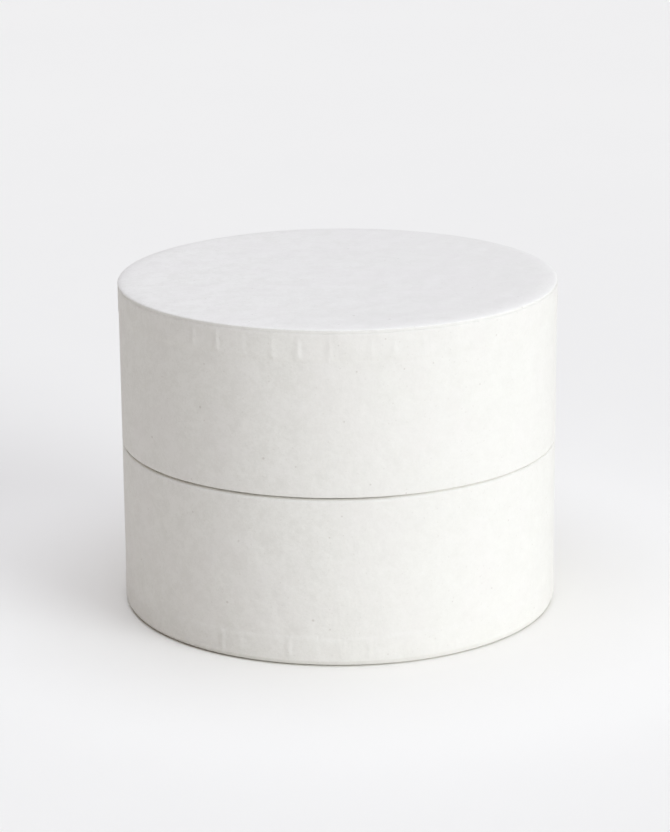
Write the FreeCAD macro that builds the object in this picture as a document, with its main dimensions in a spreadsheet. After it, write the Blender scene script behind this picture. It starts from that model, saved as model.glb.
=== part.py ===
import FreeCAD, Part

import math
import os

import Sketcher
from FreeCAD import Placement, Rotation, Vector

# A round lidded box of board covered in handmade paper. The base and the lid are two
# drums of one diameter that meet at half height, over a neck that stands up out of the
# base. Each drum is described standing on its closed end, and the lid is turned over.
# Front is -Y, up is +Z, and the origin is the middle of the underside.

# Driving sizes, in millimetres and, where the name says so, degrees
SIZES = {
    # The whole box
    "box_radius": 50.0,
    "base_height": 38.5,
    "lid_height": 37.5,
    "seam_gap": 0.25,
    # Paper and board
    "cover_paper": 0.2,
    "lining_paper": 0.2,
    "wall_board": 2.0,
    "end_board": 2.0,
    # Softened edges of the boards, before the paper goes on
    "base_edge_round": 0.8,
    "lid_edge_round": 1.3,
    "mouth_round": 0.5,
    # Tabs of the end papers, turned onto the wall, each lapping the next
    "tab_reach": 7.0,
    "base_tab_pitch": 5.6,
    "lid_tab_pitch": 6.5,
    "base_first_lap_angle": -31.3,
    "lid_first_lap_angle": -13.8,
    # The strip of paper round each wall
    "strip_margin": 0.1,
    "strip_ramp": 1.5,
    "strip_drape": 0.1,
    "turn_in": 10.0,
    "side_lap": 8.0,
    # The neck, which the lid slides over
    "neck_board": 1.5,
    "neck_rise": 16.0,
    "neck_round": 0.5,
    "neck_clearance": 0.3,
    "packing_drop": 0.5,
    # Bare margins round the papers inside
    "lining_margin": 1.0,
    "disc_margin": 0.2,
}

# Hand-cut tabs are uneven: each run of laps repeats these shares of the tab pitch
BASE_SPACING_SHARES = (0.81, 1.02, 1.02, 1.12, 1.01, 1.02)
LID_SPACING_SHARES = (0.77, 1.35, 1.04, 0.85, 1.04, 0.97, 0.97)

# The end of each side strip is scraped thin where it laps the start, to this share
END_LAP_SHARE = 0.6

# Layers of the wall as distances from the axis, from the outside in
BOARD_FACE = "(sizes.box_radius - sizes.cover_paper)"
BOARD_BACK = f"({BOARD_FACE} - sizes.wall_board)"
TURN_IN_BACK = f"({BOARD_BACK} - sizes.cover_paper)"
LID_BORE = f"({TURN_IN_BACK} - sizes.lining_paper)"
NECK_FACE = f"({LID_BORE} - sizes.neck_clearance)"
NECK_BOARD_FACE = f"({NECK_FACE} - sizes.lining_paper)"
NECK_BOARD_BACK = f"({NECK_BOARD_FACE} - sizes.neck_board)"
NECK_BORE = f"({NECK_BOARD_BACK} - sizes.lining_paper)"

# The strip round the wall lies on the board, and over the tabs one paper further out
STRIP_FACE = "sizes.box_radius"
STRIP_MIDDLE = f"({BOARD_FACE} + sizes.cover_paper / 2)"
END_LAP_FACE = f"(sizes.box_radius + sizes.cover_paper * {END_LAP_SHARE})"
TAB_FACE = f"({BOARD_FACE} + sizes.cover_paper)"
TAB_MIDDLE = f"({BOARD_FACE} + sizes.cover_paper / 2)"
LAP_FACE = f"({TAB_FACE} + sizes.cover_paper)"
STRIP_FACE_ON_TABS = f"({TAB_FACE} + sizes.cover_paper)"
STRIP_MIDDLE_ON_TABS = f"({TAB_FACE} + sizes.cover_paper / 2)"
END_LAP_FACE_ON_TABS = f"({STRIP_FACE_ON_TABS} + sizes.cover_paper * {END_LAP_SHARE})"
RIDGE_FACE = f"({LAP_FACE} + sizes.cover_paper)"

# Levels above a drum's closed end
END_BOARD_SEAT = "sizes.cover_paper"
INSIDE_FLOOR = "(sizes.cover_paper + sizes.end_board)"
RAMP_END = "(sizes.tab_reach + sizes.strip_ramp)"

# Levels of the neck, which stands on the base's bottom board
NECK_TOP = "(sizes.base_height + sizes.neck_rise)"
NECK_BOARD_TOP = f"({NECK_TOP} - sizes.lining_paper)"

BOX_HEIGHT = "(sizes.base_height + sizes.seam_gap + sizes.lid_height)"


def make_sheet(doc):
    """Put each driving size in a cell of its own, under its name."""
    sheet = doc.addObject("Spreadsheet::Sheet", "sizes")
    for row, (name, value) in enumerate(SIZES.items(), start=1):
        sheet.set(f"A{row}", str(value))
        sheet.setAlias(f"A{row}", name)
    doc.recompute()
    return sheet


def new_piece(doc, label):
    """An empty body for one piece of the box, under that piece's name."""
    body = doc.addObject("PartDesign::Body", label)
    body.Label = label
    return body


def origin_feature(body, role):
    """One of the planes or axes that a body's outlines stand on."""
    return next(item for item in body.Origin.OriginFeatures if item.Role == role)


def worked_out(sketch, expression):
    """The plain number that an expression in the driving sizes gives."""
    value = sketch.evalExpression(expression)
    return float(getattr(value, "Value", value))


def hold(sketch, kind, geometry, position, expression):
    """Tie one coordinate of a point to an expression, or lay the point on the axis."""
    if expression == "0":
        axis = -2 if kind == "DistanceX" else -1
        sketch.addConstraint(Sketcher.Constraint("PointOnObject", geometry, position, axis))
        return
    value = worked_out(sketch, expression)
    rule = Sketcher.Constraint(kind, -1, 1, geometry, position, value)
    index = sketch.addConstraint(rule)
    sketch.setExpression(f"Constraints[{index}]", expression)


def soft_corner(before, corner, after, radius):
    """
    The arc that rounds a corner, the points where it leaves one side and meets the next,
    and which of its own ends those are: arcs run anticlockwise from end 1 to end 2.
    """
    back = (before - corner).normalize()
    ahead = (after - corner).normalize()
    half_angle = back.getAngle(ahead) / 2
    setback = radius / math.tan(half_angle)
    entry = corner + back * setback
    leave = corner + ahead * setback
    centre = corner + (back + ahead).normalize() * (radius / math.sin(half_angle))
    circle = Part.Circle(centre, Vector(0, 0, 1), radius)
    from_angle = math.atan2(entry.y - centre.y, entry.x - centre.x)
    to_angle = math.atan2(leave.y - centre.y, leave.x - centre.x)
    if (to_angle - from_angle) % (2 * math.pi) < math.pi:
        return Part.ArcOfCircle(circle, from_angle, to_angle), entry, leave, (1, 2)
    return Part.ArcOfCircle(circle, to_angle, from_angle), entry, leave, (2, 1)


def add_outline(sketch, corners):
    """
    Draw a closed outline. A corner is its distance across and its height, each an
    expression in the driving sizes, and, where it is soft, its radius.
    """
    points = [Vector(worked_out(sketch, c[0]), worked_out(sketch, c[1]), 0) for c in corners]
    count = len(corners)
    entries = list(points)
    leaves = list(points)
    arcs = {}
    for i, corner in enumerate(corners):
        if len(corner) == 3:
            radius = worked_out(sketch, corner[2])
            rounding = soft_corner(points[i - 1], points[i], points[(i + 1) % count], radius)
            arc, entries[i], leaves[i], ends = rounding
            arcs[i] = (arc, ends)
    sides = []
    for i in range(count):
        side = Part.LineSegment(leaves[i], entries[(i + 1) % count])
        sides.append(sketch.addGeometry(side, False))
    for i, corner in enumerate(corners):
        into, out_of = sides[i - 1], sides[i]
        if i not in arcs:
            sketch.addConstraint(Sketcher.Constraint("Coincident", into, 2, out_of, 1))
            hold(sketch, "DistanceX", out_of, 1, corner[0])
            hold(sketch, "DistanceY", out_of, 1, corner[1])
            continue
        shape, (entry_end, leave_end) = arcs[i]
        arc = sketch.addGeometry(shape, False)
        mark = sketch.addGeometry(Part.Point(points[i]), True)
        rules = (
            Sketcher.Constraint("Tangent", into, 2, arc, entry_end),
            Sketcher.Constraint("Tangent", arc, leave_end, out_of, 1),
            Sketcher.Constraint("PointOnObject", mark, 1, into),
            Sketcher.Constraint("PointOnObject", mark, 1, out_of),
        )
        sketch.addConstraint(list(rules))
        hold(sketch, "DistanceX", mark, 1, corner[0])
        hold(sketch, "DistanceY", mark, 1, corner[1])
        index = sketch.addConstraint(
            Sketcher.Constraint("Radius", arc, worked_out(sketch, corner[2]))
        )
        sketch.setExpression(f"Constraints[{index}]", corner[2])


def outline(body, name, corners, role="XZ_Plane", turn=None, distance=None):
    """
    An outline on an upright plane of the body. The plane can be turned about the axis
    through an angle and moved out along its own normal, to face the wall from outside.
    """
    sketch = body.newObject("Sketcher::SketchObject", name)
    sketch.AttachmentSupport = [(origin_feature(body, role), "")]
    sketch.MapMode = "FlatFace"
    if turn is not None:
        degrees = worked_out(sketch, turn)
        sketch.AttachmentOffset = Placement(Vector(), Rotation(Vector(0, 1, 0), degrees))
        sketch.setExpression("AttachmentOffset.Rotation.Angle", turn)
    if distance is not None:
        sketch.setExpression("AttachmentOffset.Base.x", f"{distance} * sin({turn})")
        sketch.setExpression("AttachmentOffset.Base.z", f"{distance} * cos({turn})")
    add_outline(sketch, corners)
    return sketch


def turned(body, name, corners, angle=None, role="XZ_Plane"):
    """Turn a section about the axis, all the way round or through an angle to both sides."""
    sketch = outline(body, f"{name}_section", corners, role)
    feature = body.newObject("PartDesign::Revolution", name)
    feature.Profile = sketch
    feature.ReferenceAxis = (sketch, ["V_Axis"])
    if angle is not None:
        feature.Midplane = True
        feature.setExpression("Angle", angle)
    body.Tip = feature
    return feature


def raised(body, name, sketch, thickness, both_sides=False):
    """Thicken an outline outwards, or by half the thickness to each side."""
    feature = body.newObject("PartDesign::Pad", name)
    feature.Profile = sketch
    feature.Midplane = both_sides
    feature.setExpression("Length", thickness)
    body.Tip = feature
    return feature


def sunk(body, name, sketch, depth):
    """Cut an outline inwards."""
    feature = body.newObject("PartDesign::Pocket", name)
    feature.Profile = sketch
    feature.setExpression("Length", depth)
    body.Tip = feature
    return feature


def repeated_round(body, name, features, count, shares):
    """Repeat features round the axis, at steps that are the even step times the shares."""
    pattern = body.newObject("PartDesign::PolarPattern", name)
    pattern.Originals = features
    pattern.Axis = (origin_feature(body, "Z_Axis"), [""])
    pattern.Mode = "Spacing"
    pattern.Refine = False
    pattern.setExpression("Occurrences", count)
    number = round(worked_out(pattern, count))
    pattern.Occurrences = number
    pattern.Offset = 360 / number
    pattern.Spacings = [pattern.Offset.Value * shares[i % len(shares)] for i in range(number - 1)]
    body.Tip = pattern
    return pattern


def half_sizes(half):
    """The expressions that differ between the base's drum and the lid's."""
    height = f"sizes.{half}_height"
    edge = f"sizes.{half}_edge_round"
    bend = f"({edge} + sizes.cover_paper)"
    return {
        "height": height,
        "board_edge": edge,
        "paper_edge": bend,
        "strip_start": f"({bend} + sizes.strip_margin)",
        "board_mouth": f"({height} - sizes.cover_paper)",
        "turn_in_end": f"({height} - sizes.turn_in)",
        "first_lap": f"sizes.{half}_first_lap_angle",
        "tab_count": f"round(2 * pi * sizes.box_radius / sizes.{half}_tab_pitch)",
        "lap_width": f"((sizes.tab_reach - {bend}) * sizes.{half}_tab_pitch / sizes.box_radius)",
    }


def end_board(doc, label, half):
    """The disc that closes a drum, with its outer edge sanded soft."""
    at = half_sizes(half)
    body = new_piece(doc, label)
    corners = (
        ("0", END_BOARD_SEAT),
        (BOARD_FACE, END_BOARD_SEAT, at["board_edge"]),
        (BOARD_FACE, INSIDE_FLOOR),
        ("0", INSIDE_FLOOR),
    )
    turned(body, f"{label}_disc", corners)
    return body


def wall_board(doc, label, half):
    """The tube that stands on the end board, softened round the outside of its mouth."""
    at = half_sizes(half)
    body = new_piece(doc, label)
    corners = (
        (BOARD_BACK, INSIDE_FLOOR),
        (BOARD_FACE, INSIDE_FLOOR),
        (BOARD_FACE, at["board_mouth"], "sizes.mouth_round"),
        (BOARD_BACK, at["board_mouth"]),
    )
    turned(body, f"{label}_tube", corners)
    return body


def end_paper(doc, label, half, shares):
    """
    The disc of paper over the end board. Its rim is slit into tabs, bent round the
    board's edge and pasted up the wall. The disc's rim is longer than the wall, so each
    tab laps the next in a wedge, from nothing where the slit ends.
    """
    at = half_sizes(half)
    body = new_piece(doc, label)
    corners = (
        ("0", "0"),
        (TAB_FACE, "0", at["paper_edge"]),
        (TAB_FACE, "sizes.tab_reach"),
        (BOARD_FACE, "sizes.tab_reach"),
        (BOARD_FACE, END_BOARD_SEAT, at["board_edge"]),
        ("0", END_BOARD_SEAT),
    )
    turned(body, f"{label}_sheet", corners)

    lap_half = f"({at['lap_width']} / 2)"
    wedge = (
        ("0", at["paper_edge"]),
        (lap_half, "sizes.tab_reach"),
        (f"-{lap_half}", "sizes.tab_reach"),
    )
    sketch = outline(body, f"{label}_wedge", wedge, turn=at["first_lap"], distance=TAB_MIDDLE)
    lap = raised(body, f"{label}_lap", sketch, f"{LAP_FACE} - {TAB_MIDDLE}")
    repeated_round(body, f"{label}_laps", [lap], at["tab_count"], shares)
    return body


def side_paper(doc, label, half, shares):
    """
    The strip of paper round a wall. It starts just past the bent edge of the end paper,
    lies over the tabs, steps down onto the board beyond them, turns in over the mouth
    and laps its own end at the back. Over each lap of the tabs it rises in a low ridge.
    """
    at = half_sizes(half)
    body = new_piece(doc, label)
    corners = (
        (TAB_FACE, at["strip_start"]),
        (STRIP_FACE_ON_TABS, at["strip_start"]),
        (STRIP_FACE_ON_TABS, "sizes.tab_reach"),
        (STRIP_FACE, RAMP_END),
        (STRIP_FACE, at["height"], "(sizes.mouth_round + sizes.cover_paper)"),
        (TURN_IN_BACK, at["height"], "sizes.cover_paper"),
        (TURN_IN_BACK, at["turn_in_end"]),
        (BOARD_BACK, at["turn_in_end"]),
        (BOARD_BACK, at["board_mouth"]),
        (BOARD_FACE, at["board_mouth"], "sizes.mouth_round"),
        (BOARD_FACE, RAMP_END),
        (TAB_FACE, "sizes.tab_reach"),
    )
    turned(body, f"{label}_strip", corners)

    end_lap_end = f"({at['height']} - sizes.mouth_round - sizes.cover_paper)"
    end_lap = (
        (STRIP_MIDDLE_ON_TABS, at["strip_start"]),
        (END_LAP_FACE_ON_TABS, at["strip_start"]),
        (END_LAP_FACE_ON_TABS, "sizes.tab_reach"),
        (END_LAP_FACE, RAMP_END),
        (END_LAP_FACE, end_lap_end),
        (STRIP_MIDDLE, end_lap_end),
        (STRIP_MIDDLE, RAMP_END),
        (STRIP_MIDDLE_ON_TABS, "sizes.tab_reach"),
    )
    end_lap_angle = "sizes.side_lap / sizes.box_radius * 180 / pi"
    turned(body, f"{label}_end_lap", end_lap, end_lap_angle, "YZ_Plane")

    ridge_side = (
        (STRIP_MIDDLE_ON_TABS, at["strip_start"]),
        (RIDGE_FACE, at["strip_start"]),
        (RIDGE_FACE, "sizes.tab_reach"),
        (STRIP_FACE, RAMP_END),
        (STRIP_MIDDLE, RAMP_END),
        (STRIP_MIDDLE_ON_TABS, "sizes.tab_reach"),
    )
    across = f"({at['first_lap']} - 90)"
    sketch = outline(body, f"{label}_ridge_side", ridge_side, turn=across)
    hollow_width = f"({at['lap_width']} + 2 * sizes.strip_drape)"
    ridge_width = f"{hollow_width} + 2 * sizes.cover_paper"
    ridge = raised(body, f"{label}_ridge", sketch, ridge_width, both_sides=True)

    hollow_end = "(sizes.tab_reach + sizes.strip_drape)"
    wedge = (
        ("0", at["paper_edge"]),
        (f"{hollow_width} / 2", hollow_end),
        (f"-{hollow_width} / 2", hollow_end),
    )
    sketch = outline(body, f"{label}_wedge", wedge, turn=at["first_lap"], distance=LAP_FACE)
    hollow = sunk(body, f"{label}_hollow", sketch, f"{LAP_FACE} - {BOARD_FACE}")
    repeated_round(body, f"{label}_ridges", [ridge, hollow], at["tab_count"], shares)
    return body


def packing_strip(doc):
    """The card strip that fills the room between the base's wall and the neck."""
    at = half_sizes("base")
    body = new_piece(doc, "packing_strip")
    top = f"({at['height']} - sizes.packing_drop)"
    corners = (
        (NECK_FACE, INSIDE_FLOOR),
        (TURN_IN_BACK, INSIDE_FLOOR),
        (TURN_IN_BACK, top),
        (NECK_FACE, top),
    )
    turned(body, "packing_ring", corners)
    return body


def neck_board(doc):
    """The tube that stands in the base and rises past the seam into the lid."""
    body = new_piece(doc, "neck_board")
    corners = (
        (NECK_BOARD_BACK, INSIDE_FLOOR),
        (NECK_BOARD_FACE, INSIDE_FLOOR),
        (NECK_BOARD_FACE, NECK_BOARD_TOP, "sizes.neck_round"),
        (NECK_BOARD_BACK, NECK_BOARD_TOP, "sizes.neck_round"),
    )
    turned(body, "neck_tube", corners)
    return body


def neck_paper(doc):
    """The paper that covers the neck outside, goes over its top and lines the base."""
    body = new_piece(doc, "neck_paper")
    bend = "(sizes.neck_round + sizes.lining_paper)"
    corners = (
        (NECK_BOARD_FACE, INSIDE_FLOOR),
        (NECK_FACE, INSIDE_FLOOR),
        (NECK_FACE, NECK_TOP, bend),
        (NECK_BORE, NECK_TOP, bend),
        (NECK_BORE, INSIDE_FLOOR),
        (NECK_BOARD_BACK, INSIDE_FLOOR),
        (NECK_BOARD_BACK, NECK_BOARD_TOP, "sizes.neck_round"),
        (NECK_BOARD_FACE, NECK_BOARD_TOP, "sizes.neck_round"),
    )
    turned(body, "neck_cover", corners)
    return body


def lining_disc(doc, label, bore):
    """A disc of paper pasted on the inside of an end board."""
    body = new_piece(doc, label)
    rim = f"({bore} - sizes.disc_margin)"
    corners = (
        ("0", INSIDE_FLOOR),
        (rim, INSIDE_FLOOR),
        (rim, f"({INSIDE_FLOOR} + sizes.lining_paper)"),
        ("0", f"({INSIDE_FLOOR} + sizes.lining_paper)"),
    )
    turned(body, f"{label}_disc", corners)
    return body


def wall_lining(doc, label, half):
    """The paper inside the lid's wall, stepping in where it lies over the turned-in strip."""
    at = half_sizes(half)
    body = new_piece(doc, label)
    start = f"({INSIDE_FLOOR} + sizes.lining_paper)"
    step = f"({at['turn_in_end']} - sizes.strip_ramp)"
    mouth = f"({at['height']} - sizes.lining_margin)"
    corners = (
        (BOARD_BACK, start),
        (BOARD_BACK, step),
        (TURN_IN_BACK, at["turn_in_end"]),
        (TURN_IN_BACK, mouth),
        (LID_BORE, mouth),
        (LID_BORE, at["turn_in_end"]),
        (f"({BOARD_BACK} - sizes.lining_paper)", step),
        (f"({BOARD_BACK} - sizes.lining_paper)", start),
    )
    turned(body, f"{label}_sheet", corners)
    return body


def turn_over(body):
    """Set a drum's piece mouth down at the top of the box, its back still at the back."""
    body.Placement = Placement(Vector(), Rotation(Vector(0, 1, 0), 180))
    body.setExpression("Placement.Base.z", BOX_HEIGHT)


def check(doc, pieces):
    """Stop at anything that failed to build."""
    for item in doc.Objects:
        if "Invalid" in item.State or "Error" in item.State:
            raise RuntimeError(f"{item.Label} did not build: {item.State}")
    for body in pieces:
        if body.Shape.isNull() or not body.Shape.isValid():
            raise RuntimeError(f"{body.Label} has no valid shape")
        if len(body.Shape.Solids) != 1:
            raise RuntimeError(f"{body.Label} is {len(body.Shape.Solids)} solids")


def main():
    doc = FreeCAD.newDocument("round_paper_box")
    make_sheet(doc)
    base = [
        end_board(doc, "base_bottom_board", "base"),
        wall_board(doc, "base_wall_board", "base"),
        end_paper(doc, "base_bottom_paper", "base", BASE_SPACING_SHARES),
        side_paper(doc, "base_side_paper", "base", BASE_SPACING_SHARES),
        packing_strip(doc),
        neck_board(doc),
        neck_paper(doc),
        lining_disc(doc, "base_floor_paper", NECK_BORE),
    ]
    lid = [
        end_board(doc, "lid_top_board", "lid"),
        wall_board(doc, "lid_wall_board", "lid"),
        end_paper(doc, "lid_top_paper", "lid", LID_SPACING_SHARES),
        side_paper(doc, "lid_side_paper", "lid", LID_SPACING_SHARES),
        wall_lining(doc, "lid_wall_lining", "lid"),
        lining_disc(doc, "lid_top_lining", BOARD_BACK),
    ]
    for body in lid:
        turn_over(body)
    doc.recompute()
    check(doc, base + lid)

    os.makedirs("parts", exist_ok=True)
    for body in base + lid:
        body.Shape.exportStep(f"parts/{body.Label}.step")
        box = body.Shape.optimalBoundingBox()
        size = f"{box.XLength:.2f} x {box.YLength:.2f} x {box.ZLength:.2f} mm"
        print(f"{body.Label}: {size}, from {box.ZMin:.2f} up, {body.Shape.Volume:.0f} mm3")


main()
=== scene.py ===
# %% [markdown]
# A round box of board, covered by hand in white cotton paper. Two drums of one width
# meet at half height, and a neck that is glued into the lower one keeps them in line.
# The frame brings every solid of the box at its true place and size, in metres. What
# the eye meets is paper, so the papers are made again here as fine sheets with soft
# bends, and the boards keep their solids and get a finish.

import bisect
import math
import random

import bmesh
import bpy
from mathutils import Matrix, Vector, noise


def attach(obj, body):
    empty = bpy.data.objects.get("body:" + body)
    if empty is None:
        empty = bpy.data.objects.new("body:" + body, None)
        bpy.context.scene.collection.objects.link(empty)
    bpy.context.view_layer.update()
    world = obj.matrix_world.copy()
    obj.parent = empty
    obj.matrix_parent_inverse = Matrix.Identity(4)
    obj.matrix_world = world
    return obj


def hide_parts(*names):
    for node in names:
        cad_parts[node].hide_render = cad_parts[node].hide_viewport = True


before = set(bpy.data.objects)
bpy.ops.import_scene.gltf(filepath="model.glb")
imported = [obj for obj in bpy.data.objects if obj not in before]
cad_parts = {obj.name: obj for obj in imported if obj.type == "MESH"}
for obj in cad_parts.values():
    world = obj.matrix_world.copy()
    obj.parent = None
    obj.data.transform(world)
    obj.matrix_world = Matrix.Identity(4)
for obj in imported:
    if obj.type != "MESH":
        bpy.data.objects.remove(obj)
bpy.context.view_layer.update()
scene = bpy.context.scene
MM = 0.001
print("nodes:", sorted(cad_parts))

# %% [markdown]
# The camera stands a little above the box and looks down on it, so that the lid's top
# is a narrow ellipse. The lens is long: the box's sides then stay nearly upright, as
# they do in a product picture taken from a step back.

# %% Camera
LONG_SIDE_PIXELS = 832
FOCAL_PIXELS = 2850.0
SENSOR_WIDTH = 36
NEAR, FAR = 0.01, 30
LOOKS_DOWN = math.radians(16.193)
LEANS = math.radians(-0.438)
EYE = Vector((-0.83, -633.19, 226.50)) * MM

camera_data = bpy.data.cameras.new("camera")
camera_data.sensor_width = SENSOR_WIDTH
camera_data.lens = FOCAL_PIXELS * SENSOR_WIDTH / LONG_SIDE_PIXELS
camera_data.clip_start = NEAR
camera_data.clip_end = FAR
camera = bpy.data.objects.new("camera", camera_data)
scene.collection.objects.link(camera)
camera.matrix_world = (
    Matrix.Translation(EYE)
    @ Matrix.Rotation(math.radians(90) - LOOKS_DOWN, 4, "X")
    @ Matrix.Rotation(LEANS, 4, "Z")
)
scene.camera = camera
print(f"lens {camera_data.lens:.1f} mm, eye {EYE.length:.3f} m from the box's foot")

# %% [markdown]
# Shader maths reads best as plain sums. A wire is one value on its way through a
# material: adding or multiplying wires adds the Math nodes. A finish is the material
# itself, and its one method adds any other node: settings first, then the sockets.


# %% Wires and finishes
class Wire:
    """One value on its way through a finish; sums of wires add Math nodes."""

    def __init__(self, finish, socket):
        self.finish = finish
        self.socket = socket

    def sum(self, operation, *values):
        sockets = dict(enumerate(values))
        return self.finish.node("ShaderNodeMath", {"operation": operation}, sockets)

    def __add__(self, other):
        return self.sum("ADD", self, other)

    def __sub__(self, other):
        return self.sum("SUBTRACT", self, other)

    def __mul__(self, other):
        return self.sum("MULTIPLY", self, other)

    def __rsub__(self, other):
        return self.sum("SUBTRACT", other, self)

    __radd__ = __add__
    __rmul__ = __mul__

    def __abs__(self):
        return self.sum("ABSOLUTE", self)

    def between(self, low, high):
        """0 below low and 1 above high, with a soft step from one to the other."""
        settings = {"interpolation_type": "SMOOTHSTEP"}
        sockets = {"Value": self, "From Min": low, "From Max": high}
        return self.finish.node("ShaderNodeMapRange", settings, sockets)


class Finish:
    """A material under construction."""

    def __init__(self, name):
        self.material = bpy.data.materials.new(name)
        self.material.use_nodes = True
        self.tree = self.material.node_tree
        self.tree.nodes.clear()

    def node(self, kind, settings=None, sockets=None, out=None):
        """Add a node: its settings first, then its sockets, and give back one output."""
        node = self.tree.nodes.new(kind)
        for name, value in (settings or {}).items():
            setattr(node, name, value)
        for key, value in (sockets or {}).items():
            if isinstance(key, int):
                socket = node.inputs[key]
            else:
                socket = next(s for s in node.inputs if s.enabled and s.name == key)
            if isinstance(value, Wire):
                self.tree.links.new(value.socket, socket)
            else:
                socket.default_value = value
        shown = [s for s in node.outputs if s.enabled]
        if not shown:
            return None
        return Wire(self, next((s for s in shown if s.name == out), shown[0]))

    def cloud(self, place, size, detail=3.0, shift=0.0, falling=0.6):
        """Soft random patches, about size across in metres, from 0 to 1."""
        away = (shift, -shift, 2 * shift)
        moved = self.node("ShaderNodeMapping", {}, {"Vector": place, "Location": away})
        sockets = {"Vector": moved, "Scale": 1 / size, "Detail": detail, "Roughness": falling}
        return self.node("ShaderNodeTexNoise", {}, sockets)

    def mixed(self, share, first, second):
        """Two colours, mixed by share."""
        sockets = {"Factor": share, "A": first, "B": second}
        return self.node("ShaderNodeMix", {"data_type": "RGBA"}, sockets)

    def done(self, colour, roughness, height, constants):
        """Join it all in one surface; height is in metres."""
        relief = {"Height": height, "Distance": 1.0, "Strength": 1.0}
        normal = self.node("ShaderNodeBump", {}, relief)
        sockets = {"Base Color": colour, "Roughness": roughness, "Normal": normal}
        surface = self.node("ShaderNodeBsdfPrincipled", {}, {**sockets, **constants})
        self.node("ShaderNodeOutputMaterial", {}, {"Surface": surface})
        return self.material


# %% [markdown]
# Every piece of the box is round, so each starts as a section: a row of points, each at
# a distance from the axis and at a height. Spin turns the section about the axis. The
# operator slows down with many steps, so it turns one wedge here, and the wedge is
# doubled until it has gone full circle.

# %% Helpers for spun pieces
DOUBLINGS = 5
WEDGES = 2**DOUBLINGS


def arc(across, up, radius, start, end, steps):
    """Points of a rounding about a centre, from one angle to another in degrees."""
    angles = (math.radians(start + (end - start) * i / steps) for i in range(steps + 1))
    return [(across + radius * math.cos(a), up + radius * math.sin(a)) for a in angles]


def spun(section, steps, closed=True):
    """
    A section of (distance from the axis, height) in millimetres, turned full circle in
    steps, a multiple of WEDGES.
    """
    bm = bmesh.new()
    points = [bm.verts.new((0, -across * MM, up * MM)) for across, up in section]
    pairs = list(zip(points, points[1:]))
    if closed:
        pairs.append((points[-1], points[0]))
    edges = [bm.edges.new(pair) for pair in pairs]
    wedge = math.tau / WEDGES
    bmesh.ops.spin(
        bm, geom=points + edges, cent=(0, 0, 0), axis=(0, 0, 1), dvec=(0, 0, 0),
        angle=wedge, steps=steps // WEDGES, use_merge=False, use_duplicate=False,
    )
    for i in range(DOUBLINGS):
        whole = bm.verts[:] + bm.edges[:] + bm.faces[:]
        copy = bmesh.ops.duplicate(bm, geom=whole)["geom"]
        turned = [item for item in copy if isinstance(item, bmesh.types.BMVert)]
        further = Matrix.Rotation(wedge * 2**i, 3, "Z")
        bmesh.ops.rotate(bm, cent=(0, 0, 0), matrix=further, verts=turned)
    bmesh.ops.remove_doubles(bm, verts=bm.verts, dist=0.0005 * MM)
    bmesh.ops.recalc_face_normals(bm, faces=bm.faces)
    return bm


def make_object(name, bm, material):
    """A smooth-shaded object at the origin, with its place in its mesh."""
    mesh = bpy.data.meshes.new(name)
    bm.to_mesh(mesh)
    bm.free()
    mesh.shade_smooth()
    mesh.materials.append(material)
    thing = bpy.data.objects.new(name, mesh)
    scene.collection.objects.link(thing)
    return thing


# %% [markdown]
# The room is a white sweep: a wide floor that turns up, far out, into a low wall all
# round, so no edge shows behind the box from any side. Its white grows a little paler
# with the distance from the box, as painted light for the brighter far floor, and it has
# faint patches, as a painted board has.

# %% Floor
NEAR_WHITE = (0.95, 0.936, 0.889, 1)
PAINTED_LIGHT_FAR_WHITE = (0.981, 0.966, 0.912, 1)
FLOOR_RINGS = (0, 60, 120, 400, 1200, 6000)
TURN_UP = 700
WALL_TOP = 1600
SWEEP_STEPS = 96

sweep = Finish("sweep")
where = sweep.node("ShaderNodeTexCoord", out="Object")
patches = sweep.cloud(where, 0.12, detail=4)
distance = sweep.node("ShaderNodeVectorMath", {"operation": "LENGTH"}, {0: where}, out="Value")
# painted light: the floor is paler with its distance from the box; the faint patches are the
# board's own
share = distance.between(0.08, 0.7) * 0.8 + patches.between(0.3, 0.7) * 0.2
tone = sweep.mixed(share, NEAR_WHITE, PAINTED_LIGHT_FAR_WHITE)
sweep.done(tone, 0.9, patches * 0.0004, {"Specular IOR Level": 0.1})

floor_mesh = spun([(ring, 0) for ring in FLOOR_RINGS], SWEEP_STEPS, closed=False)
upside_down = [face for face in floor_mesh.faces if face.normal.z < 0]
bmesh.ops.reverse_faces(floor_mesh, faces=upside_down)
floor = make_object("floor", floor_mesh, sweep.material)

turn_up = arc(FLOOR_RINGS[-1], TURN_UP, TURN_UP, -90, 0, 16)
backdrop_section = turn_up + [(FLOOR_RINGS[-1] + TURN_UP, WALL_TOP)]
backdrop_mesh = spun(backdrop_section, SWEEP_STEPS, closed=False)
bmesh.ops.reverse_faces(backdrop_mesh, faces=backdrop_mesh.faces[:])
backdrop = make_object("backdrop", backdrop_mesh, sweep.material)
backdrop.visible_shadow = False
backdrop.visible_diffuse = False
print(f"floor: {len(floor.data.polygons)} faces")

# %% [markdown]
# Two broad lights. A low one from the right, a little in front of the box, stands for a
# window: it makes the wall run from near white at the right to soft grey at the left. A
# very broad one overhead stands for a pale ceiling: it lights the lid's top and the
# floor, and the floor throws its light back up into the shadow side. A faint warm glow
# from all round fills what both leave dark.


# %% Light
def soft_light(name, azimuth, elevation, spread, strength, colour):
    """A sun lamp in degrees: to the right of the front, above the floor, and how broad."""
    right, up = math.radians(azimuth), math.radians(elevation)
    level = math.cos(up)
    towards = Vector((math.sin(right) * level, -math.cos(right) * level, math.sin(up)))
    lamp = bpy.data.lights.new(name, "SUN")
    lamp.energy = math.pi * strength
    lamp.angle = math.radians(spread)
    lamp.color = colour
    holder = bpy.data.objects.new(name, lamp)
    holder.rotation_mode = "QUATERNION"
    holder.rotation_quaternion = towards.to_track_quat("Z", "Y")
    scene.collection.objects.link(holder)
    return lamp


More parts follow.
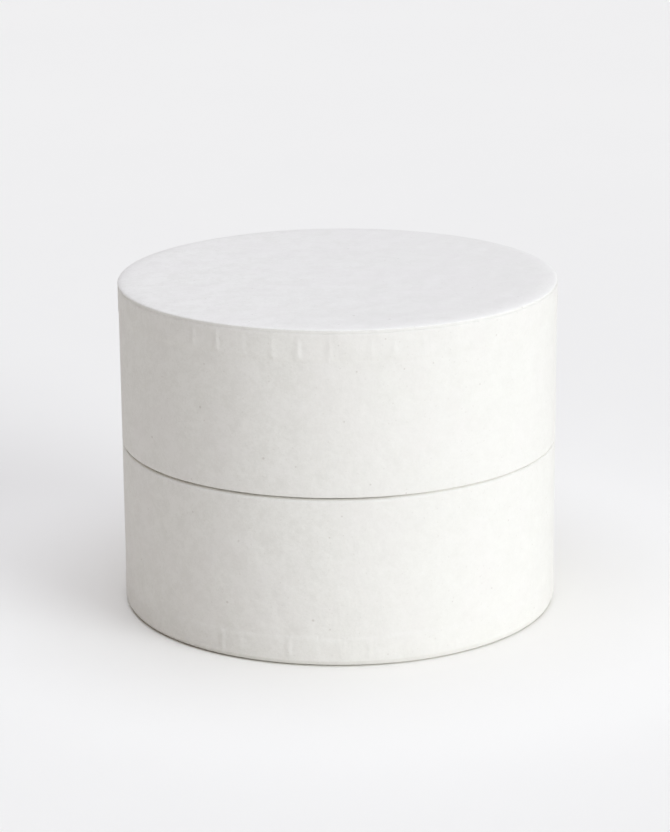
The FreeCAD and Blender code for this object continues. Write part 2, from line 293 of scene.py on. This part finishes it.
window = soft_light(
    "window", azimuth=51.5, elevation=16, spread=35, strength=0.572, colour=(0.94, 0.996, 1.042)
)
ceiling = soft_light(
    "ceiling", azimuth=0, elevation=89, spread=70, strength=0.725, colour=(0.932, 0.978, 1.10)
)

WARM_GLOW = (1.0, 0.62, 0.22, 1)
GLOW_STRENGTH = 0.08
world = bpy.data.worlds.new("room")
world.use_nodes = True
room = world.node_tree.nodes["Background"]
room.inputs["Color"].default_value = WARM_GLOW
room.inputs["Strength"].default_value = GLOW_STRENGTH
scene.world = world
scene.view_settings.view_transform = "Standard"
print(f"lights: window {window.energy:.2f}, ceiling {ceiling.energy:.2f}")

# %% [markdown]
# Handmade paper is a felt of cotton fibres. From near it has a tooth, a few long
# fibres that lie on the face, a cloudy formation, and now and then a speck of bark or
# rag. Each is one layer here: noise for tooth and cloud, the thin contour lines of a
# soft noise for fibres, and the middles of scattered cells for specks, pits and motes.
# The pits are dents, and their colour is also darkened a little as painted shade.
# A slight blush in wide patches keeps the white from being one flat tone. Towards the
# box's left the cloud is made stronger, as painted shade in place of the tooth's shading
# in raking light. They all use the object's own coordinates, so they stay put when a
# piece moves.


# %% Paper
def long_fibres(finish, place, size, width, shift):
    """Thin wandering lines, broken into short lengths."""
    field = finish.cloud(place, size, detail=1.0, shift=shift)
    line = 1 - abs(field - 0.5).between(0.0, width)
    lengths = finish.cloud(place, size * 1.7, detail=0.0, shift=shift + 3.1).between(0.56, 0.62)
    return line * lengths


def flecks(finish, place, cell, radius, share):
    """Scattered round specks: the middles of some of the cells."""
    settings = {"feature": "F1"}
    sockets = {"Vector": place, "Scale": 1 / cell, "Randomness": 1.0}
    away = finish.node("ShaderNodeTexVoronoi", settings, sockets, out="Distance")
    colour = finish.node("ShaderNodeTexVoronoi", settings, sockets, out="Color")
    chance = finish.node("ShaderNodeSeparateColor", {}, {"Color": colour}, out="Red")
    dot = 1 - away.between(0.3 * radius / cell, radius / cell)
    return dot * (1 - chance.between(share, share + 0.01))


ROSY = (0.897, 0.866, 0.838, 1)
PULP_SIZE = 0.005
TOOTH_SIZE = 0.006
BLUSH_SIZE = 0.014
# size of the wandering, width of the line, shift
LONG_FIBRES = (0.0045, 0.012, 0.7)
SHORT_FIBRES = (0.0028, 0.016, 5.3)
# size of a cell, radius of the fleck, share of the cells that have one
SPECKS = (0.0033, 0.0003, 0.5)
PITS = (0.0013, 0.00026, 0.45)
MOTES = (0.0085, 0.00042, 0.5)
# painted shade: the pulp's mottle is made stronger towards the box's left, in place of the tooth's
# shading in the light that rakes across that side
PAINTED_SHADE_FROM, PAINTED_SHADE_FULL_AT = 0.02, -0.04
PAINTED_SHADE_CLOUD = 1.6


def paper(name, light, shade, fleck, cloudy, tooth):
    """A sheet of cotton paper: two near tones, how cloudy it is, and its tooth in metres."""
    finish = Finish(name)
    place = finish.node("ShaderNodeTexCoord", out="Object")
    pulp = finish.cloud(place, PULP_SIZE, detail=6, falling=1.0)
    relief = finish.cloud(place, TOOTH_SIZE, detail=7, shift=1.3, falling=0.5)
    lines = long_fibres(finish, place, *LONG_FIBRES) + long_fibres(finish, place, *SHORT_FIBRES)
    specks = flecks(finish, place, *SPECKS)
    pit_dents_and_shade = flecks(finish, place, *PITS)
    motes = flecks(finish, place, *MOTES)
    sideways = finish.node("ShaderNodeSeparateXYZ", {}, {"Vector": place}, out="X")
    # painted shade: the extra cloud on the box's left stands for the tooth's shading in raking
    # light
    cloud_and_painted_shade = sideways.between(PAINTED_SHADE_FROM, PAINTED_SHADE_FULL_AT) * (PAINTED_SHADE_CLOUD * cloudy) + cloudy
    blush = finish.cloud(place, BLUSH_SIZE, detail=3, shift=4.2)
    tone = finish.mixed((pulp - 0.5) * cloud_and_painted_shade + 0.5, shade, light)
    tone = finish.mixed((blush - 0.42) * 1.3, tone, ROSY)
    tone = finish.mixed(lines * 0.2, tone, light)
    # specks and motes are the paper's own flecks; the pits are darkened too, as painted shade in
    # their hollows
    tone = finish.mixed(specks * 0.24 + pit_dents_and_shade * 0.09 + motes * 0.28, tone, fleck)
    height = (relief - 0.5) * tooth + lines * (0.01 * tooth) - pit_dents_and_shade * (0.02 * tooth)
    roughness = 0.86 + (relief - 0.5) * 0.2
    return finish.done(tone, roughness, height, {"Specular IOR Level": 0.25})


# light tone, shade tone, fleck
COTTON = ((0.911, 0.897, 0.852, 1), (0.859, 0.844, 0.796, 1), (0.36, 0.30, 0.24, 1))
LINING = ((0.90, 0.888, 0.854, 1), (0.85, 0.835, 0.796, 1), (0.45, 0.38, 0.30, 1))
cover_paper = paper("cotton_cover_paper", *COTTON, cloudy=3.2, tooth=0.00035)
end_paper = paper("cotton_end_paper", *COTTON, cloudy=3.2, tooth=0.0003)
lining_paper = paper("cotton_lining_paper", *LINING, cloudy=3.4, tooth=0.0004)
print("papers:", cover_paper.name, end_paper.name, lining_paper.name)

# %% [markdown]
# The board is grey pulp pressed in layers. Its cut edge shows the layers and its face
# shows dark and pale bits of old print and bark, so the tone goes by height above the
# floor in thin bands and by coarse and fine noise.

# %% Board
DARK_PULP = (0.33, 0.30, 0.26, 1)
PALE_PULP = (0.50, 0.47, 0.42, 1)
BARK = (0.16, 0.14, 0.12, 1)
BITS = (0.0016, 0.00022, 0.5)
GRAIN_DEPTH = 0.00006
PLY_DEPTH = 0.00002
BOARDS = (
    "base_bottom_board", "base_wall_board", "packing_strip",
    "neck_board", "lid_top_board", "lid_wall_board",
)

board = Finish("pulp_board")
place = board.node("ShaderNodeTexCoord", out="Object")
pulp = board.cloud(place, 0.0009, detail=4)
coarse = board.cloud(place, 0.006, detail=3, shift=2.7)
layers = board.node("ShaderNodeMapping", {}, {"Vector": place, "Scale": (40.0, 40.0, 900.0)})
plies = board.cloud(layers, 1.0, detail=2, shift=0.4)
bits = flecks(board, place, *BITS)
mixture = (pulp - 0.5) * 0.8 + (coarse - 0.5) * 0.4 + (plies - 0.5) * 0.3 + 0.5
tone = board.mixed(mixture.between(0.2, 0.8), DARK_PULP, PALE_PULP)
tone = board.mixed(bits * 0.5, tone, BARK)
roughness = 0.9 + (pulp - 0.5) * 0.1
height = (pulp - 0.5) * GRAIN_DEPTH + (plies - 0.5) * PLY_DEPTH
grey_board = board.done(tone, roughness, height, {"Specular IOR Level": 0.2})
for name in BOARDS:
    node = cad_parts[name]
    node.data.materials.clear()
    node.data.materials.append(grey_board)
print(f"board on {len(BOARDS)} solids")

# %% [markdown]
# Under each side paper lie the tabs of the end paper: its rim is slit, bent round the
# board's edge and pasted up the wall. The disc is wider than the wall, so each tab laps
# the next in a wedge, and the side paper over it rises there in a low ridge. Hands cut
# the slits, so their steps are uneven; the same shares place them in the solids.

# %% Places of the laps
TAB_REACH = 7.0
BASE_STEPS = (0.81, 1.02, 1.02, 1.12, 1.01, 1.02)
LID_STEPS = (0.77, 1.35, 1.04, 0.85, 1.04, 0.97, 0.97)


def lap_places(first, count, steps):
    """Angles of the laps in degrees to the right of the front, for a drum mouth up."""
    even = 360 / count
    places = [first]
    for i in range(count - 1):
        places.append(places[-1] + even * steps[i % len(steps)])
    return places


base_laps = lap_places(first=-31.3, count=56, steps=BASE_STEPS)
lid_laps = lap_places(first=-13.8, count=48, steps=LID_STEPS)
print(f"laps: {len(base_laps)} in the base, {len(lid_laps)} in the lid")

# %% [markdown]
# How strongly a lap shows depends on how hard the tab was rubbed down, so each has a
# boldness of its own, listed at the front and by seeded chance elsewhere. Each tab
# ends at a slightly different height, a little short of its full reach.

# %% Boldness of the laps
BOLD_RANGE = (0.2, 0.9)
UNEVEN_RANGE = (-0.4, 0.3)
BASE_SHORT, LID_SHORT = 0.8, 0.5

chance = random.Random(7)
base_bold = [1.5, 1.0, 0.25, 1.4, 0.5, 0.15, 0.85, 0.3, 0.2, 0.3, 0.5]
base_bold += [chance.uniform(*BOLD_RANGE) for _ in range(len(base_laps) - len(base_bold))]
lid_bold = [1.2, 1.0, 1.2, 1.6, 1.3, 0.8, 1.6, 1.8, 0.45]
lid_bold += [chance.uniform(*BOLD_RANGE) for _ in range(len(lid_laps) - len(lid_bold))]
base_ends = [TAB_REACH - BASE_SHORT + chance.uniform(*UNEVEN_RANGE) for _ in base_laps]
lid_ends = [TAB_REACH - LID_SHORT + chance.uniform(*UNEVEN_RANGE) for _ in lid_laps]
all_ends = base_ends + lid_ends
print(f"tab ends from {min(all_ends):.1f} to {max(all_ends):.1f} mm up the wall")

# %% [markdown]
# A side paper is one strip. Its section is a closed line: up the face, round the mouth,
# down the inside as a turn-in and back along the board. Spun, it is a smooth sleeve;
# then every point of its face is lifted by what lies under it there: a tab, the ridge
# where two tabs lap, or the strip's own end at the back. Lengths are in millimetres.

# %% Side papers
WALL = 50.0
BOARD_OUT = 49.81
BOARD_IN = 47.79
TURNED_IN = 47.6
TURN_IN_DEPTH = 10
PRESSED = 0.1
RIDGE = 0.68 * PRESSED
LAP_WIDTH = 0.75
TAB_ZONE = 12


def place_of(vert):
    """A point's x, y and z, its distance from the axis and its angle in degrees."""
    x, y, z = vert.co / MM
    return x, y, z, math.hypot(x, y), math.degrees(math.atan2(x, -y)) % 360


def half_turn(angle):
    """The same angle as one from -180 to 180."""
    return (angle + 180) % 360 - 180


def smooth_step(low, high, value):
    """0 below low and 1 above high, soft in between."""
    share = min(max((value - low) / (high - low), 0.0), 1.0)
    return share * share * (3 - 2 * share)


def sleeve_section(height, mouth_round, edge):
    """The closed section of a side paper, for a drum that stands on its closed end."""
    rows = [edge + up for up in (0.04, 0.2, 0.45, 0.8, 1.2, 1.7, 2.3, 2.9, 3.5, 4.1, 4.7, 5.2)]
    rows += [6.5, 6.8, 7.1, 7.4, 7.7, 8.0, 8.4, 9, 10, 12, 14.5, 17, 19.5, 22, 24.5, 27, 29.5]
    rows += [height - down for down in (6.5, 4.5, 3, 2, 1.3)]
    face = [(WALL - 0.03, edge)] + [(WALL, up) for up in rows]
    face += arc(WALL - mouth_round, height - mouth_round, mouth_round, 0, 90, 7)
    face += arc(TURNED_IN + 0.3, height - 0.3, 0.3, 90, 180, 3)
    cut = height - TURN_IN_DEPTH
    inside = [(TURNED_IN, height - 3), (TURNED_IN, height - 9.9), (47.62, cut), (BOARD_IN, cut)]
    back = [(BOARD_IN, height - 0.19), (49.3, height - 0.19), (BOARD_OUT, height - 0.7)]
    back += [(BOARD_OUT, 8.6), (49.96, 7.3), (49.96, 1.8), (49.99, edge)]
    return face + inside + back


def lift_over_tabs(bm, laps, bolds, ends, bend, edge, pull, way, mouth_shift):
    """
    Move the face of a side paper out over the tabs and laps, and shape its mouth. Its cut
    edge is pulled in by pull, and the laps fall away softly to the left where way is 1.
    """
    order = sorted(range(len(laps)), key=lambda i: laps[i] % 360)
    angles = [laps[i] % 360 for i in order]
    for vert in bm.verts:
        x, y, z, across, angle = place_of(vert)
        on_face = across > WALL - 0.04
        nearest = bisect.bisect(angles, angle)
        moved = 0.0
        if on_face and z < TAB_ZONE:
            end = ends[order[nearest - 1]]
            moved += PRESSED * (1 - smooth_step(end - 0.1, end + 0.9, z))
            grown = min(max((z - bend) / (TAB_REACH - bend), 0.0), 1.0)
            for k in (nearest - 1, nearest):
                lap = order[k % len(order)]
                side = math.radians(half_turn(angle - angles[k % len(order)])) * WALL * way
                half = 0.5 * LAP_WIDTH * grown
                rise = smooth_step(-half - 1.1, -half + 0.2, side)
                rise *= 1 - smooth_step(half - 0.3, half + 0.8, side)
                fade = smooth_step(bend - 0.6, bend + 2.2, z)
                fade *= 1 - smooth_step(ends[lap] - 0.2, ends[lap] + 0.5, z)
                moved += RIDGE * bolds[lap] * rise * fade
            moved -= pull * (1 - smooth_step(edge, edge + 0.45, z))
        if on_face:
            aside = (angle - 180) * way
            lap_over = smooth_step(-5.4, -4.4, aside) * (1 - smooth_step(4.45, 4.65, aside))
            moved += PRESSED * lap_over
            moved += 0.012 * noise.noise(Vector((x, y, z)) * 0.09)
        scale = (across + moved) / across
        slip = mouth_shift(angle) * smooth_step(24, 36, z)
        if abs(z - edge) < 0.25:
            slip += 0.05 * noise.noise(Vector((x, y, 7.0)) * 0.12)
        vert.co = Vector((x * scale, y * scale, z + slip)) * MM


def drawn_through(marks, angle):
    """The height read off a soft line through (angle, height) marks right round the drum."""
    for (left, low), (right, high) in zip(marks, marks[1:]):
        if left <= angle <= right:
            return low + (high - low) * smooth_step(left, right, angle)
    return marks[0][1]


def waver(angle, row):
    """The small unevenness of an edge turned in by hand."""
    at = math.radians(angle)
    return noise.noise(Vector((math.sin(at), math.cos(at), row)) * 6)


BASE_HEIGHT = 38.5
BASE_EDGE = 1.1
SLEEVE_STEPS = 1600
BASE_RIM = [(-180, -0.05), (-60, -0.2), (-5, -0.2), (6, -0.16), (18, 0.0), (28, 0.1), (60, 0.12)]
BASE_RIM += [(72, 0.12), (110, 0.1), (180, -0.05)]


def base_mouth(angle):
    """The base's rim is rubbed down a little at the left and middle, and full at the right."""
    return drawn_through(BASE_RIM, half_turn(angle)) + 0.015 * waver(angle, 0.3)


base_sleeve = spun(sleeve_section(BASE_HEIGHT, mouth_round=0.9, edge=BASE_EDGE), SLEEVE_STEPS)
lift_over_tabs(
    base_sleeve, base_laps, base_bold, base_ends,
    bend=1.0, edge=BASE_EDGE, pull=0.0, way=1, mouth_shift=base_mouth,
)
base_side = make_object("base_side_cover", base_sleeve, cover_paper)
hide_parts("base_side_paper")
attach(base_side, "base")
print(f"base side cover: {len(base_side.data.polygons)} faces")

# %% [markdown]
# The lid is the same drum turned over, so angles run the other way on it. Its mouth
# reaches up to a tenth of a millimetre past its level all round. The base's rim lies
# low at the left and middle and rises at the right, so between them the seam stands
# open, dark and narrow, over most of the front and closes to a fine line at the right.

# %% Lid's side paper
BOX_HEIGHT = 76.25
LID_HEIGHT = 37.5
LID_EDGE = 1.08
turn_over = Matrix.Translation((0, 0, BOX_HEIGHT * MM)) @ Matrix.Rotation(math.pi, 4, "Y")

LID_RIM = [(-180, 0.05), (-60, 0.1), (-50, 0.08), (10, 0.08), (25, 0.06), (50, 0.06), (62, 0.08)]
LID_RIM += [(72, 0.1), (110, 0.08), (180, 0.05)]


def lid_mouth(angle):
    """How far the mouth reaches past its level."""
    return drawn_through(LID_RIM, half_turn(-angle)) + 0.02 * waver(angle, 4.3)


lid_sleeve = spun(sleeve_section(LID_HEIGHT, mouth_round=0.35, edge=LID_EDGE), SLEEVE_STEPS)
lift_over_tabs(
    lid_sleeve, lid_laps, lid_bold, lid_ends,
    bend=1.5, edge=LID_EDGE, pull=0.07, way=-1, mouth_shift=lid_mouth,
)
bmesh.ops.transform(lid_sleeve, matrix=turn_over, verts=lid_sleeve.verts)
lid_side = make_object("lid_side_cover", lid_sleeve, cover_paper)
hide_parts("lid_side_paper")
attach(lid_side, "lid")
print(f"lid side cover: {len(lid_side.data.polygons)} faces")

# %% [markdown]
# An end paper is a disc with its slit rim turned up. Seen from outside it is flat,
# with a soft bend at the edge, and at every slit the bend has a faint pucker, because
# flat paper can't follow a round edge without one. The foot's bend is lifted off the
# floor by the board's rounding; the shoulder falls away softly before it turns down.


# %% End papers
FLAT = [(0, 0), (6, 0), (12, 0), (18, 0), (24, 0), (30, 0), (36, 0), (41, 0), (44.4, 0)]
FOOT = [(46.5, 0), (47.2, 0.01), (47.9, 0.035), (48.5, 0.08), (49.0, 0.14), (49.3, 0.21)]
FOOT += [(49.55, 0.31), (49.70, 0.45), (49.80, 0.65), (49.87, 0.90), (49.92, 1.15), (49.94, 1.4)]
SHOULDER = [(45.3, 0.001), (46.0, 0.005), (46.7, 0.016), (47.3, 0.034), (48.0, 0.066)]
SHOULDER += [(48.7, 0.115), (49.2, 0.17), (49.42, 0.205), (49.62, 0.243), (49.77, 0.278)]
SHOULDER += [(49.88, 0.318), (49.95, 0.37), (49.98, 0.44), (49.99, 0.53), (49.99, 0.7)]
SHOULDER += [(49.985, 1.1), (49.93, 1.7)]
FLAT_WITHIN = 44
PUCKER_WIDTH = 0.7
PUCKER_DEPTH = 0.03
SHEET_STEPS = 1216


def end_sheet(bend, board_round, laps, pressed, proud):
    """A disc with its rim turned up the wall; pressed and proud shape its edge by angle."""
    rim = bend[-1][0]
    face = FLAT + bend + [(rim, 2.4), (rim, 4.5), (rim, 6.2)]
    back = [(BOARD_OUT, 6.2), (BOARD_OUT, board_round + 0.5), (49.6, board_round)]
    back += [(across - 0.12, up + 0.17) for across, up in reversed(bend) if across < 49.3]
    back += [(0, 0.19)]
    bm = spun(face + back, SHEET_STEPS)
    angles = sorted(lap % 360 for lap in laps)
    for vert in bm.verts:
        x, y, z, across, angle = place_of(vert)
        if across < FLAT_WITHIN or z > 1.5:
            continue
        nearest = bisect.bisect(angles, angle)
        around = (angles[k % len(angles)] for k in (nearest - 1, nearest))
        aside = min(abs(half_turn(angle - lap)) for lap in around)
        pucker = math.exp(-((math.radians(aside) * WALL / PUCKER_WIDTH) ** 2))
        bulge = smooth_step(0.25, 0.6, z) * (1 - smooth_step(0.62, 1.05, z))
        bulge *= smooth_step(49.5, 49.9, across)
        moved = proud(angle) * bulge
        moved -= PUCKER_DEPTH * pucker * smooth_step(rim - 1.2, rim - 0.3, across)
        scale = 1 + moved / across
        flat = pressed(angle) * (1 - smooth_step(0.3, 1.3, z))
        vert.co = Vector((x * scale, y * scale, z * (1 - flat))) * MM
    return bm


def flush(angle):
    """No bulge anywhere."""
    return 0.0


def shoulder_proud(angle):
    """At the left the bend stands a tenth of a millimetre out over the side paper's edge."""
    left = half_turn(angle)
    return 0.13 * smooth_step(22, 58, left) * (1 - smooth_step(120, 160, left))


def foot_pressed(angle):
    """The box stands a little harder on its right side."""
    right = half_turn(angle)
    return 0.5 * smooth_step(-10, 25, right) * (1 - smooth_step(100, 150, right))


def shoulder_pressed(angle):
    """Below zero: the lid's edge is worn rounder at the right and at the back left."""
    right = half_turn(-angle)
    worn = smooth_step(12, 42, right) * (1 - smooth_step(90, 130, right))
    worn += smooth_step(60, 90, -right) * (1 - smooth_step(140, 170, -right))
    return -0.5 * worn


base_sheet = end_sheet(FOOT, 0.8, base_laps, foot_pressed, flush)
base_end = make_object("base_bottom_cover", base_sheet, end_paper)
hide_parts("base_bottom_paper")
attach(base_end, "base")

lid_sheet = end_sheet(SHOULDER, 1.0, lid_laps, shoulder_pressed, shoulder_proud)
bmesh.ops.transform(lid_sheet, matrix=turn_over, verts=lid_sheet.verts)
lid_end = make_object("lid_top_cover", lid_sheet, end_paper)
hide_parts("lid_top_paper")
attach(lid_end, "lid")
print(f"end covers: {len(base_end.data.polygons)} and {len(lid_end.data.polygons)} faces")

# %% [markdown]
# Two boards are worn softer than a straight saw cut: the lid's top board falls away over
# its last four millimetres, and the base's wall board is rubbed round at the mouth. The
# papers follow them, so these two boards are turned again here with that shape.

# %% Softened boards
PAPER = 0.2
BOARD_FLOOR = 2.2
PLAIN_STEPS = 384

disc = [(0, PAPER)]
disc += [(across - PAPER, up + PAPER) for across, up in SHOULDER if across < 49.6]
disc += [(49.62, 0.95), (49.66, 1.3), (49.7, BOARD_FLOOR), (0, BOARD_FLOOR)]
lid_disc = spun(disc, PLAIN_STEPS, closed=False)
bmesh.ops.transform(lid_disc, matrix=turn_over, verts=lid_disc.verts)
top_board = make_object("lid_top_disc", lid_disc, grey_board)
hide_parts("lid_top_board")
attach(top_board, "lid")

ring = [(47.8, BOARD_FLOOR), (49.8, BOARD_FLOOR)]
ring += arc(48.6, 36.85, 1.2, 0, 90, 6) + arc(48.2, 37.65, 0.4, 90, 180, 3)
wall_board = make_object("base_wall_ring", spun(ring, PLAIN_STEPS), grey_board)
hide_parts("base_wall_board")
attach(wall_board, "base")
print(f"boards: {len(top_board.data.polygons)} and {len(wall_board.data.polygons)} faces")

# %% [markdown]
# The neck's paper goes up its outside, over its top and down its inside to the floor.
# It meets itself in an upright lap at the back, and its top edge has the small dents of
# paper that was folded over a round edge by thumb.

# %% Neck's paper
NECK_TOP = 54.5
LINING_LAP = 0.09
LINING_STEPS = 896

neck_section = [(47.1, 2.3)] + [(47.1, up) for up in (8, 16, 24, 32, 38, 42, 45, 48, 50, 52)]
neck_section += arc(46.4, NECK_TOP - 0.7, 0.7, 0, 90, 6)
neck_section += arc(45.9, NECK_TOP - 0.7, 0.7, 90, 180, 6)
neck_section += [(45.2, up) for up in (50, 45, 38, 30, 20, 10, 2.4)]
neck_section += [(45.39, 2.4), (45.39, NECK_TOP - 0.6), (45.7, NECK_TOP - 0.21)]
neck_section += [(46.6, NECK_TOP - 0.21), (46.91, NECK_TOP - 0.6), (46.91, 2.3)]
neck_sheet = spun(neck_section, LINING_STEPS)
for vert in neck_sheet.verts:
    x, y, z, across, angle = place_of(vert)
    outside = across > 47.05
    inside = across < 45.25
    over_top = z > NECK_TOP - 0.72
    lap_over = smooth_step(173, 174.2, angle) * (1 - smooth_step(186, 186.25, angle))
    moved = 0.0
    if outside or over_top and across > 46.2:
        moved += LINING_LAP * lap_over
    if inside:
        moved -= LINING_LAP * lap_over
    dent = noise.noise(Vector((x, y, 2.0)) * 0.35) * smooth_step(NECK_TOP - 3.5, NECK_TOP - 0.4, z)
    if not 45.3 < across < 47.0 or over_top:
        moved += 0.03 * dent + 0.012 * noise.noise(Vector((x, y, z)) * 0.1)
    scale = (across + moved) / across
    drop = min(0.0, 0.03 * dent - 0.01) if z > NECK_TOP - 0.05 else 0.0
    vert.co = Vector((x * scale, y * scale, z + drop)) * MM
neck_cover = make_object("neck_cover", neck_sheet, lining_paper)
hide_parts("neck_paper")
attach(neck_cover, "base")
print(f"neck cover: {len(neck_cover.data.polygons)} faces")

# %% [markdown]
# Inside, the lid has a sleeve of lining paper that stops just short of the mouth and
# steps in where it covers the turned-in strip, and both ends have a disc whose edge
# was cut by hand.


# %% Linings
def disc_sheet(radius, thickness, seed):
    """A thin disc with a hand-cut edge and a faint swell, lying on its back at height 0."""
    rings = (0, 8, 16, 24, 32, 38, radius - 3, radius - 1, radius - 0.05)
    face = [(across, thickness) for across in rings]
    face += [(radius, thickness - 0.05), (radius, 0), (radius - 8, 0), (0, 0)]
    bm = spun(face, PLAIN_STEPS, closed=False)
    for vert in bm.verts:
        x, y, z, across, angle = place_of(vert)
        uneven = 0.12 * noise.noise(Vector((x, y, seed)) * 0.05)
        uneven *= smooth_step(radius - 2, radius, across)
        swell = 0.03 * noise.noise(Vector((x, y, seed + 3)) * 0.07) * (z > thickness - 0.06)
        scale = 1 + (uneven - 0.1 * (uneven > 0)) / max(across, 1)
        vert.co = Vector((x * scale, y * scale, z - abs(swell))) * MM
    return bm


floor_sheet = disc_sheet(45.0, PAPER, seed=3.0)
bmesh.ops.translate(floor_sheet, vec=(0, 0, BOARD_FLOOR * MM), verts=floor_sheet.verts)
floor_cover = make_object("base_floor_lining", floor_sheet, lining_paper)
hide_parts("base_floor_paper")
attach(floor_cover, "base")

top_sheet = disc_sheet(47.6, PAPER, seed=11.0)
bmesh.ops.translate(top_sheet, vec=(0, 0, BOARD_FLOOR * MM), verts=top_sheet.verts)
bmesh.ops.transform(top_sheet, matrix=turn_over, verts=top_sheet.verts)
top_lining = make_object("lid_ceiling_lining", top_sheet, lining_paper)
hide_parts("lid_top_lining")
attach(top_lining, "lid")

MOUTH_LINE = LID_HEIGHT - 1.0
STEP_LINE = LID_HEIGHT - TURN_IN_DEPTH
WIDE, NARROW = 47.61, 47.41
lining_section = [(WIDE, up) for up in (2.45, 6, 12, 18, 23, STEP_LINE - 1.5)]
lining_section += [(47.58, STEP_LINE - 1.0), (47.5, STEP_LINE - 0.5), (47.43, STEP_LINE)]
lining_section += [(NARROW, up) for up in (STEP_LINE + 0.5, 30, 32, 34, 35.5, MOUTH_LINE - 0.06)]
lining_section += [(47.45, MOUTH_LINE), (47.59, MOUTH_LINE), (47.59, STEP_LINE)]
lining_section += [(BOARD_IN, STEP_LINE - 1.5), (BOARD_IN, 2.45)]
lining_sheet = spun(lining_section, LINING_STEPS)
for vert in lining_sheet.verts:
    x, y, z, across, angle = place_of(vert)
    if across < 47.57 or across < 47.62 and z < STEP_LINE - 0.9:
        lap_over = smooth_step(164, 165, angle) * (1 - smooth_step(176, 176.25, angle))
        across_now = across - 0.08 * lap_over - 0.02 * noise.noise(Vector((x, y, z)) * 0.08)
        vert.co = Vector((x * across_now / across, y * across_now / across, z)) * MM
    if z > MOUTH_LINE - 0.1:
        vert.co.z += 0.06 * MM * noise.noise(Vector((x, y, 5.0)) * 0.08)
bmesh.ops.transform(lining_sheet, matrix=turn_over, verts=lining_sheet.verts)
wall_lining = make_object("lid_wall_sleeve", lining_sheet, lining_paper)
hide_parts("lid_wall_lining")
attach(wall_lining, "lid")
for lining in (floor_cover, top_lining, wall_lining):
    print(f"{lining.name}: {len(lining.data.polygons)} faces")
